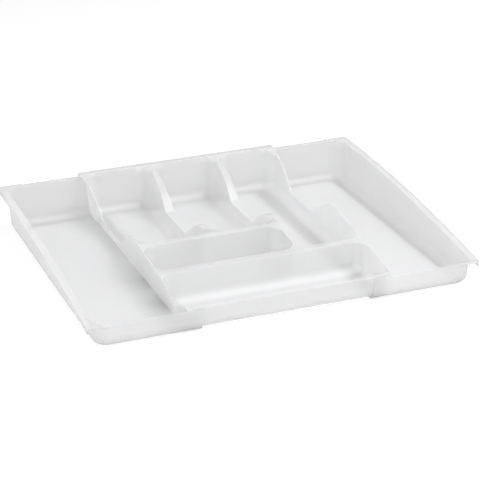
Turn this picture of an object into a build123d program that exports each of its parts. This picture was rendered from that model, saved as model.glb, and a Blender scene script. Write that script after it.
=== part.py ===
"""Expandable cutlery tray: a compartment tray that lies in two end trays, which slide out from under it.

Millimetres. X runs along the slides, +Y to the high back wall, +Z up. The origin is on the surface that
the tray stands on, under the middle of its outline.
"""
import os
from math import radians, sqrt, tan

from build123d import *

# Driving dimensions of the whole tray
back_height = 51.5       # side rim of the end trays at the back wall
front_height = 26.5      # rim of the end trays at the front wall
wall = 2                 # wall of every moulding
floor = 2                # floor of every moulding
draft = 4                # lean of every wall, in degrees
corner = 16              # upright corners, outside, at the table
foot = 13                # round between wall and floor, outside
fit = 0.5                # gap between the compartment tray and the end trays
rim = 2                  # thickness of every rim
rim_corner = 1.5         # corners of the rims, seen from above
overrun = 12             # how far a cutter reaches past what it cuts

# The end trays
end_length = 117         # floor of an end tray, from its open end to its outer wall
grip = 21                # how much of that stays under the compartment tray when the end tray is drawn out
side_flange = 6.5        # rim that stands out from the outer wall
side_lip = 6             # height of the turned-down edge of that rim
back_flange = 2          # rim that stands out behind the back wall
ear_step = 1             # how far the side rim stands above the back rim

# The compartment tray
centre_width = 236       # across its walls, at the table
front_row = 69.5         # front to back of the front compartment, at the table
cross_row = 49           # front to back of the crosswise compartment behind it, at the table
long_row = 214.5         # front to back of the lengthwise compartments behind that, at the table
left_width = 72.5        # of the left lengthwise compartment, at the table
right_width = 63         # of the right lengthwise compartment, at the table
rim_step = 2.4           # how far its rim stands above the side rims of the end trays
rim_overhang = 6.5       # its back rim goes this far past its floor on each side
rim_lip = 5              # height of the hooked edge behind the back walls of the end trays
front_rim_inset = 5      # its front rim stops this far inside its floor on each side
divider = 14             # width of the hollow dividers, at the table
bevel_share = 0.58       # of a round: the bevel that the hollow under a divider has in its place
scoop_height = 20        # height of the finger scoops above the table
scoop_back = 100         # radius of the brow from the back wall down into a scoop
scoop_front = 71         # front to back of the brow from a scoop up to the crosswise divider
scoop_round = 10         # round at the bottom of a scoop
hump = 3                 # how far in front of the lengthwise compartments the front brow starts
hump_drop = 6.9          # how far below the back rim it starts

# Places that follow from the sizes
lean = tan(radians(draft))
centre_height = back_height + rim_step
top = centre_height + overrun
nest = wall + fit
centre_corner = corner - wall
centre_foot = foot - wall
pocket_corner = centre_corner - wall
pocket_foot = pocket_corner - fit
floor_depth = 2 * (nest + wall + divider) + front_row + cross_row + long_row
front_reach = (front_height + rim_step) * lean
back_reach = centre_height * lean + back_flange + fit + rim
y_front = front_reach - (floor_depth + front_reach + back_reach) / 2
y_back = y_front + floor_depth
y_cross = y_front + nest + wall + front_row + divider
y_long = y_cross + cross_row + divider
x_centre = centre_width / 2
x_open = x_centre - grip
x_outer = x_open + end_length
x_ear = x_outer + back_height * lean - wall
y_rim_front = y_front - front_reach
y_rim_back = y_back - nest - wall
rim_fall = back_height - front_height
rim_radius = ((y_rim_back - y_rim_front) ** 2 + rim_fall**2) / (2 * rim_fall)


def rim_height(y):
    """Height of the side rims: an arc that leaves the back wall level and falls to the front wall."""
    return back_height - rim_radius + sqrt(rim_radius**2 - (y_rim_back - y) ** 2)


def drafted_box(x_low, x_high, y_low, y_high, z_low, radius, edge_size, soften=fillet):
    """A box that widens upwards, with soft corners and a soft foot. Its sides are given as they are at the table."""
    grown = z_low * lean
    with BuildPart() as box:
        with BuildSketch(Plane.XY.offset(z_low)) as outline:
            with Locations(((x_low + x_high) / 2, (y_low + y_high) / 2)):
                Rectangle(x_high - x_low + 2 * grown, y_high - y_low + 2 * grown)
            soften(outline.vertices(), radius + grown)
        extrude(amount=top - z_low, taper=-draft)
        soften(box.faces().sort_by(Axis.Z)[0].edges(), edge_size)
    return box.part


def rim_blank(x_low, x_high, y_low, y_high):
    """A block whose sides lean with the walls and keep their small corners. Sides as they are at the table."""
    with BuildPart() as blank:
        for z in (0, top):
            grown = 2 * z * lean
            with BuildSketch(Plane.XY.offset(z)):
                with Locations(((x_low + x_high) / 2, (y_low + y_high) / 2)):
                    RectangleRounded(x_high - x_low + grown, y_high - y_low + grown, rim_corner)
        loft(ruled=True)
    return blank.part


def rim_band(raised, thickness):
    """A curved plate across the whole tray. Its top lies this much above the arc of the side rims."""
    y_end = y_front - overrun
    y_start = y_back + overrun
    z_end = rim_height(y_end) + raised
    z_start = back_height + raised
    with BuildPart() as band:
        with BuildSketch(Plane.YZ):
            with BuildLine():
                Line((y_start, z_start), (y_rim_back, z_start))
                TangentArc((y_rim_back, z_start), (y_end, z_end), tangent=(-1, 0))
                Line((y_end, z_end), (y_end, z_end - thickness))
                TangentArc((y_rim_back, z_start - thickness), (y_end, z_end - thickness), tangent=(-1, 0))
                Line((y_rim_back, z_start - thickness), (y_start, z_start - thickness))
                Line((y_start, z_start - thickness), (y_start, z_start))
            make_face()
        extrude(amount=x_outer + overrun, both=True)
    return band.part


def scoop_cut(skin=0):
    """All that lies above the lengthwise walls: down the back brow, along the scoop, up the front brow.

    A skin sets the whole surface that much deeper, for the hollow under the dividers.
    """
    z_back = centre_height - skin
    z_scoop = scoop_height - skin
    y_top = y_long - hump
    z_top = centre_height - hump_drop - skin
    z_low = rim_height(y_rim_front) + rim_step - skin
    slope = (z_top - z_low) / (y_top - y_rim_front)
    back_run = sqrt(scoop_back**2 - (scoop_back - z_back + z_scoop) ** 2)
    y_end = y_front - overrun
    start = (y_rim_back + z_back * lean, z_back)
    back_foot = (start[0] - back_run, z_scoop)
    front_foot = (y_top + scoop_front, z_scoop)
    end = (y_end, z_low - slope * (y_rim_front - y_end))
    with BuildPart() as cut:
        with BuildSketch(Plane.YZ) as profile:
            with BuildLine():
                TangentArc(start, back_foot, tangent=(-1, 0))
                Line(back_foot, front_foot)
                TangentArc((y_top, z_top), front_foot, tangent=(1, slope))
                Line((y_top, z_top), end)
                Line(end, (y_end, top))
                Line((y_end, top), (y_rim_back + top * lean, top))
                Line((y_rim_back + top * lean, top), start)
            make_face()
            level = back_foot[0] - front_foot[0]
            fillet(profile.vertices().group_by(Axis.Y)[0], min(scoop_round, level / 2))
        extrude(amount=x_outer, both=True)
    return cut.part


def end_tray():
    """The right end tray: floor, outer wall, high back wall and low front wall, open towards the middle."""
    x_past = x_open - corner - overrun
    body = drafted_box(x_past, x_outer, y_front, y_back, 0, corner, foot)
    hollow = drafted_box(x_past + wall, x_outer - wall, y_front + wall, y_back - wall, floor, corner - wall,
                         foot - wall)
    side_blank = rim_blank(x_outer - corner, x_outer + side_flange, y_front, y_back + back_flange)
    inside_lip = rim_blank(x_past, x_outer + side_flange - rim, y_front - overrun, y_back + overrun)
    back_blank = rim_blank(x_past, x_outer, y_back - corner, y_back + back_flange)
    with BuildPart() as side_rim:
        add(side_blank)
        add(rim_band(0, rim), mode=Mode.INTERSECT)
    with BuildPart() as lip:
        add(side_blank)
        add(rim_band(0, side_lip), mode=Mode.INTERSECT)
        add(inside_lip, mode=Mode.SUBTRACT)
    with BuildPart() as back_rim:
        add(back_blank)
        add(rim_band(-ear_step, rim), mode=Mode.INTERSECT)
    with BuildPart() as tray:
        add(body)
        add(rim_band(0, top), mode=Mode.INTERSECT)
        with BuildSketch(Plane.XY.offset(back_height - ear_step)):
            with Locations((x_ear, y_rim_back)):
                Rectangle(x_ear - x_past, 2 * corner, align=(Align.MAX, Align.CENTER))
        extrude(amount=overrun, mode=Mode.SUBTRACT)
        add(back_rim.part)
        add(side_rim.part)
        add(lip.part)
        add(hollow, mode=Mode.SUBTRACT)
        split(bisect_by=Plane.YZ.offset(x_open), keep=Keep.TOP)
    return tray.part


def pocket_places():
    """The five compartments as (x_low, x_high, y_low, y_high), as they are at the table."""
    x_in = x_centre - wall
    x_left = left_width - x_in
    x_right = x_in - right_width
    y_in = y_front + nest + wall
    y_end = y_long + long_row
    return [
        (-x_in, x_in, y_in, y_in + front_row),
        (-x_in, x_right - divider, y_cross, y_cross + cross_row),
        (-x_in, x_left, y_long, y_end),
        (x_left + divider, x_right - divider, y_long, y_end),
        (x_right, x_in, y_cross, y_end),
    ]


def compartment_tray():
    """The middle moulding: one skin folded into five compartments, hollow under its dividers."""
    y_low = y_front + nest
    y_high = y_back - nest
    x_rim = x_centre + rim_overhang - centre_height * lean
    x_front_rim = x_centre - front_rim_inset
    y_hook = y_back + back_flange + fit
    body = drafted_box(-x_centre, x_centre, y_low, y_high, floor, centre_corner, centre_foot)
    inside = drafted_box(wall - x_centre, x_centre - wall, y_low + wall, y_high - wall, floor,
                         pocket_corner, pocket_foot)
    back_blank = rim_blank(-x_rim, x_rim, y_back - corner, y_hook + rim)
    back_gap = rim_blank(-x_outer, x_outer, y_front, y_hook)
    front_blank = rim_blank(-x_front_rim, x_front_rim, y_front, y_front + corner)
    pockets = [drafted_box(*place, 2 * floor, pocket_corner, pocket_foot) for place in pocket_places()]
    skins = [
        drafted_box(x0 - wall, x1 + wall, y0 - wall, y1 + wall, floor, centre_corner * bevel_share,
                    (pocket_foot + wall) * bevel_share, soften=chamfer)
        for x0, x1, y0, y1 in pocket_places()
    ]
    with BuildPart() as rims:
        add([back_blank, front_blank])
        add(rim_band(rim_step, rim), mode=Mode.INTERSECT)
    with BuildPart() as hook:
        add(back_blank)
        add(back_gap, mode=Mode.SUBTRACT)
        add(rim_band(rim_step, rim_lip), mode=Mode.INTERSECT)
    with BuildPart() as under_dividers:
        add(inside)
        add(scoop_cut(skin=wall), mode=Mode.SUBTRACT)
        add(skins, mode=Mode.SUBTRACT)
    with BuildPart() as tray:
        add(body)
        split(bisect_by=Plane.XY.offset(centre_height), keep=Keep.BOTTOM)
        add(rims.part)
        add(hook.part)
        add(pockets, mode=Mode.SUBTRACT)
        add(scoop_cut(), mode=Mode.SUBTRACT)
        add(under_dividers.part, mode=Mode.SUBTRACT)
    return tray.part


os.makedirs("parts", exist_ok=True)

with BuildPart() as centre_tray:
    add(compartment_tray())
centre_tray.part.label = "centre_tray"
export_step(centre_tray.part, "parts/centre_tray.step")

with BuildPart() as right_extension_tray:
    add(end_tray())
right_extension_tray.part.label = "right_extension_tray"
export_step(right_extension_tray.part, "parts/right_extension_tray.step")

with BuildPart() as left_extension_tray:
    add(right_extension_tray.part)
    mirror(about=Plane.YZ, mode=Mode.REPLACE)
left_extension_tray.part.label = "left_extension_tray"
export_step(left_extension_tray.part, "parts/left_extension_tray.step")

closing_travel = x_outer - wall - fit - x_centre
print("closing travel of each end tray", round(closing_travel, 2))
print("open end at x", round(x_open, 2), "front and back of the floor at y", round(y_front, 2), round(y_back, 2))
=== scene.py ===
"""Studio picture of the cutlery tray: three mouldings of frosted polypropylene on a pale floor."""
from math import cos, radians, sin

import bpy
from mathutils import Matrix, Vector

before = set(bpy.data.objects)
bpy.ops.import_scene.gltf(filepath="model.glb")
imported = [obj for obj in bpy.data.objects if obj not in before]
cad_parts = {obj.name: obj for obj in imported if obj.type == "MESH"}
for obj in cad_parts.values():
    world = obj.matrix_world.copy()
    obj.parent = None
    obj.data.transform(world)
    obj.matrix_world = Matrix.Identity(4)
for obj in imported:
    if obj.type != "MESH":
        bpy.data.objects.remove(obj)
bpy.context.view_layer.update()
scene = bpy.context.scene

# The photograph's camera, in metres and degrees
AZIMUTH, ELEVATION, ROLL = -19.577, 22.168, -1.586
DISTANCE = 2.16993
TARGET = Vector((0.02553, 0.03456, 0.0))
FOCAL_PIXELS = 1856.94
PICTURE = 480
SENSOR = 36.0
CLIP_NEAR, CLIP_FAR = 0.05, 50

# Vertices nearer than this are joined, in metres
MERGE = 0.00001

# The plastic: noises (scale, detail, roughness), the part of a noise in use, and what it drives
CLOUD_NOISE = (14.0, 3.0, 0.5)
RUB_NOISE = (12.0, 1.0, 0.5)
GRAIN_NOISE = (700.0, 1.0, 0.5)
FLOW_NOISE = (35.0, 1.0, 0.4)
NOISE_LOW, NOISE_HIGH = 0.3, 0.7
CLOUD_LOW, CLOUD_HIGH = 0.35, 0.65
MILK_DARK, MILK_LIGHT = (0.95, 0.955, 0.955), (0.97, 0.975, 0.975)
ROUGH_LOW, ROUGH_HIGH = 0.30, 0.36
GRAIN_STRENGTH, GRAIN_DEPTH = 0.05, 0.00005
FLOW_STRENGTH, FLOW_DEPTH = 0.15, 0.0006
SHADING = {
    "IOR": 1.49,
    "Alpha": 0.35,
    "Coat Weight": 0.6,
    "Coat Roughness": 0.1,
    "Subsurface Weight": 1.0,
    "Subsurface Radius": (1.0, 1.0, 0.95),
    "Subsurface Scale": 0.01,
}

# Each moulding's node, its material, and the shift of its noises, so that no two look the same
PLASTICS = (
    ("centre_tray", "centre_plastic_frosted", 0.3),
    ("left_extension_tray", "left_plastic_frosted", 1.7),
    ("right_extension_tray", "right_plastic_frosted", 2.9),
)

# The studio, in metres: lamps (name, place, size, watts), the world's light, and level sheets
# (name, low corner, high corner, height, colour, glow)
LAMPS = (
    ("top_softbox", (0.62, -0.7, 1.7), (1.4, 1.3), 25),
    ("left_fill", (-1.8, -0.3, 0.85), (1.2, 1.0), 3),
    ("front_fill", (-0.4, -2.0, 1.0), (1.8, 1.2), 8),
)
WHITE = (1, 1, 1, 1)
WORLD_LIGHT = 0.58
SHEETS = (
    ("studio_floor", (-6, -6), (6, 6), -0.0004, (0.58, 0.58, 0.58), 0.5),
    # The card under the tray is painted light: it is paler than the floor around it, which stands
    # in for light that passes through the tray onto the floor beneath
    ("painted_light_card", (-0.2, -0.176), (0.2, 0.17), -0.0002, (0.82, 0.82, 0.83), 0.4),
)

# A ray whose transparent depth is below this has passed through no surface yet
UNCROSSED = 0.5


def link(tree, source, target):
    """Joins two sockets."""
    tree.links.new(source, target)


def node(tree, kind, **values):
    """A shader node with its properties and its sockets' values set."""
    made = tree.nodes.new(kind)
    for name, value in values.items():
        if hasattr(made, name):
            setattr(made, name, value)
        else:
            made.inputs[name.replace("_", " ")].default_value = value
    return made


def ramp(tree, source, low, high, colour_low, colour_high):
    """Turns a grey into a colour between two."""
    made = node(tree, "ShaderNodeValToRGB")
    stops = made.color_ramp.elements
    stops[0].position, stops[0].color = low, (*colour_low, 1)
    stops[1].position, stops[1].color = high, (*colour_high, 1)
    link(tree, source, made.inputs["Fac"])
    return made.outputs["Color"]


def spread(tree, source, low, high):
    """Maps a noise onto a range."""
    made = node(tree, "ShaderNodeMapRange", From_Min=NOISE_LOW, From_Max=NOISE_HIGH,
                To_Min=low, To_Max=high)
    link(tree, source, made.inputs["Value"])
    return made.outputs["Result"]


def noise(tree, place, values):
    """A noise of the given scale, detail and roughness, as a grey."""
    scale, detail, roughness = values
    made = node(tree, "ShaderNodeTexNoise", Scale=scale, Detail=detail, Roughness=roughness)
    link(tree, place, made.inputs["Vector"])
    return made.outputs["Fac"]


def frosted_plastic(name, seed):
    """Milky polypropylene: soft cloudiness, a fine grain, rubbed patches and a slight waviness."""
    material = bpy.data.materials.new(name)
    material.use_nodes = True
    tree = material.node_tree
    tree.nodes.clear()
    out = node(tree, "ShaderNodeOutputMaterial")
    shader = node(tree, "ShaderNodeBsdfPrincipled")
    link(tree, shader.outputs["BSDF"], out.inputs["Surface"])
    place = node(tree, "ShaderNodeTexCoord")
    shifted = node(tree, "ShaderNodeMapping")
    shifted.inputs["Location"].default_value = (seed, seed * 2, 0)
    link(tree, place.outputs["Object"], shifted.inputs["Vector"])
    cloud, rub, grain, flow = (
        noise(tree, shifted.outputs["Vector"], values)
        for values in (CLOUD_NOISE, RUB_NOISE, GRAIN_NOISE, FLOW_NOISE))
    milk = ramp(tree, cloud, CLOUD_LOW, CLOUD_HIGH, MILK_DARK, MILK_LIGHT)
    link(tree, milk, shader.inputs["Base Color"])
    link(tree, spread(tree, rub, ROUGH_LOW, ROUGH_HIGH), shader.inputs["Roughness"])
    fine = node(tree, "ShaderNodeBump", Strength=GRAIN_STRENGTH, Distance=GRAIN_DEPTH)
    link(tree, grain, fine.inputs["Height"])
    wavy = node(tree, "ShaderNodeBump", Strength=FLOW_STRENGTH, Distance=FLOW_DEPTH)
    link(tree, flow, wavy.inputs["Height"])
    link(tree, fine.outputs["Normal"], wavy.inputs["Normal"])
    link(tree, wavy.outputs["Normal"], shader.inputs["Normal"])
    for socket, value in SHADING.items():
        shader.inputs[socket].default_value = value
    return material


for node_name, material_name, seed in PLASTICS:
    plastic = frosted_plastic(material_name, seed)
    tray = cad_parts[node_name]
    for slot in tray.material_slots:
        slot.material = plastic
    weld = tray.modifiers.new("joined", "WELD")
    weld.merge_threshold = MERGE


def camera_axes():
    """Right, up and backward direction of the photograph's camera."""
    a, e, r = radians(AZIMUTH), radians(ELEVATION), radians(ROLL)
    back = Vector((sin(a) * cos(e), -cos(a) * cos(e), sin(e)))
    level = (-back).cross(Vector((0, 0, 1))).normalized()
    upright = level.cross(-back)
    return cos(r) * level + sin(r) * upright, -sin(r) * level + cos(r) * upright, back


right, up, back = camera_axes()
camera = bpy.data.objects.new("photo_camera", bpy.data.cameras.new("photo_camera"))
scene.collection.objects.link(camera)
camera.data.sensor_width = SENSOR
camera.data.lens = FOCAL_PIXELS / PICTURE * SENSOR
camera.data.clip_start, camera.data.clip_end = CLIP_NEAR, CLIP_FAR
spot = TARGET + back * DISTANCE
camera.matrix_world = Matrix((
    (right.x, up.x, back.x, spot.x),
    (right.y, up.y, back.y, spot.y),
    (right.z, up.z, back.z, spot.z),
    (0, 0, 0, 1)))
scene.camera = camera


def area_lamp(name, place, size, watts):
    """A soft white rectangular lamp that points at the middle of the tray's footprint."""
    data = bpy.data.lights.new(name, "AREA")
    data.shape = "RECTANGLE"
    data.size, data.size_y = size
    data.energy = watts
    lamp = bpy.data.objects.new(name, data)
    scene.collection.objects.link(lamp)
    lamp.location = place
    lamp.rotation_mode = "QUATERNION"
    lamp.rotation_quaternion = (-Vector(place)).to_track_quat("-Z", "Y")


for values in LAMPS:
    area_lamp(*values)


def seen_rays(tree, path, camera_rays):
    """One for the given camera rays and for every glossy and transmitted ray."""
    for other in ("Is Glossy Ray", "Is Transmission Ray"):
        either = node(tree, "ShaderNodeMath", operation="MAXIMUM")
        link(tree, camera_rays, either.inputs[0])
        link(tree, path.outputs[other], either.inputs[1])
        camera_rays = either.outputs["Value"]
    return camera_rays


def white_world(strength):
    """Even pale light from all round, plain white to camera, glossy and transmitted rays."""
    world = bpy.data.worlds.new("studio")
    scene.world = world
    world.use_nodes = True
    tree = world.node_tree
    tree.nodes.clear()
    out = node(tree, "ShaderNodeOutputWorld")
    path = node(tree, "ShaderNodeLightPath")
    seen = node(tree, "ShaderNodeBackground", Strength=1.0)
    seen.inputs["Color"].default_value = WHITE
    light = node(tree, "ShaderNodeBackground", Strength=strength)
    light.inputs["Color"].default_value = WHITE
    mix = node(tree, "ShaderNodeMixShader")
    link(tree, seen_rays(tree, path, path.outputs["Is Camera Ray"]), mix.inputs["Fac"])
    link(tree, light.outputs["Background"], mix.inputs[1])
    link(tree, seen.outputs["Background"], mix.inputs[2])
    link(tree, mix.outputs["Shader"], out.inputs["Surface"])


white_world(WORLD_LIGHT)


def pale_sheet(name, low, high, height, colour, lift):
    """A level sheet that keeps the tray's shadow.

    It glows only for rays straight from the camera and for glossy and transmitted rays, not for
    camera rays that have passed through the tray, so the plastic over it isn't washed out.
    """
    mesh = bpy.data.meshes.new(name)
    (x0, y0), (x1, y1) = low, high
    mesh.from_pydata([(x0, y0, 0), (x1, y0, 0), (x1, y1, 0), (x0, y1, 0)], [], [(0, 1, 2, 3)])
    sheet = bpy.data.objects.new(name, mesh)
    scene.collection.objects.link(sheet)
    sheet.location.z = height
    material = bpy.data.materials.new(name)
    material.use_nodes = True
    tree = material.node_tree
    tree.nodes.clear()
    out = node(tree, "ShaderNodeOutputMaterial")
    paint = node(tree, "ShaderNodeBsdfDiffuse")
    paint.inputs["Color"].default_value = (*colour, 1)
    glow = node(tree, "ShaderNodeEmission", Strength=lift)
    path = node(tree, "ShaderNodeLightPath")
    direct = node(tree, "ShaderNodeMath", operation="LESS_THAN")
    link(tree, path.outputs["Transparent Depth"], direct.inputs[0])
    direct.inputs[1].default_value = UNCROSSED
    seen = node(tree, "ShaderNodeMath", operation="MULTIPLY")
    link(tree, path.outputs["Is Camera Ray"], seen.inputs[0])
    link(tree, direct.outputs["Value"], seen.inputs[1])
    both = node(tree, "ShaderNodeAddShader")
    link(tree, paint.outputs["BSDF"], both.inputs[0])
    link(tree, glow.outputs["Emission"], both.inputs[1])
    mix = node(tree, "ShaderNodeMixShader")
    link(tree, seen_rays(tree, path, seen.outputs["Value"]), mix.inputs["Fac"])
    link(tree, paint.outputs["BSDF"], mix.inputs[1])
    link(tree, both.outputs["Shader"], mix.inputs[2])
    link(tree, mix.outputs["Shader"], out.inputs["Surface"])
    mesh.materials.append(material)


for values in SHEETS:
    pale_sheet(*values)
scene.view_settings.view_transform = "Standard"
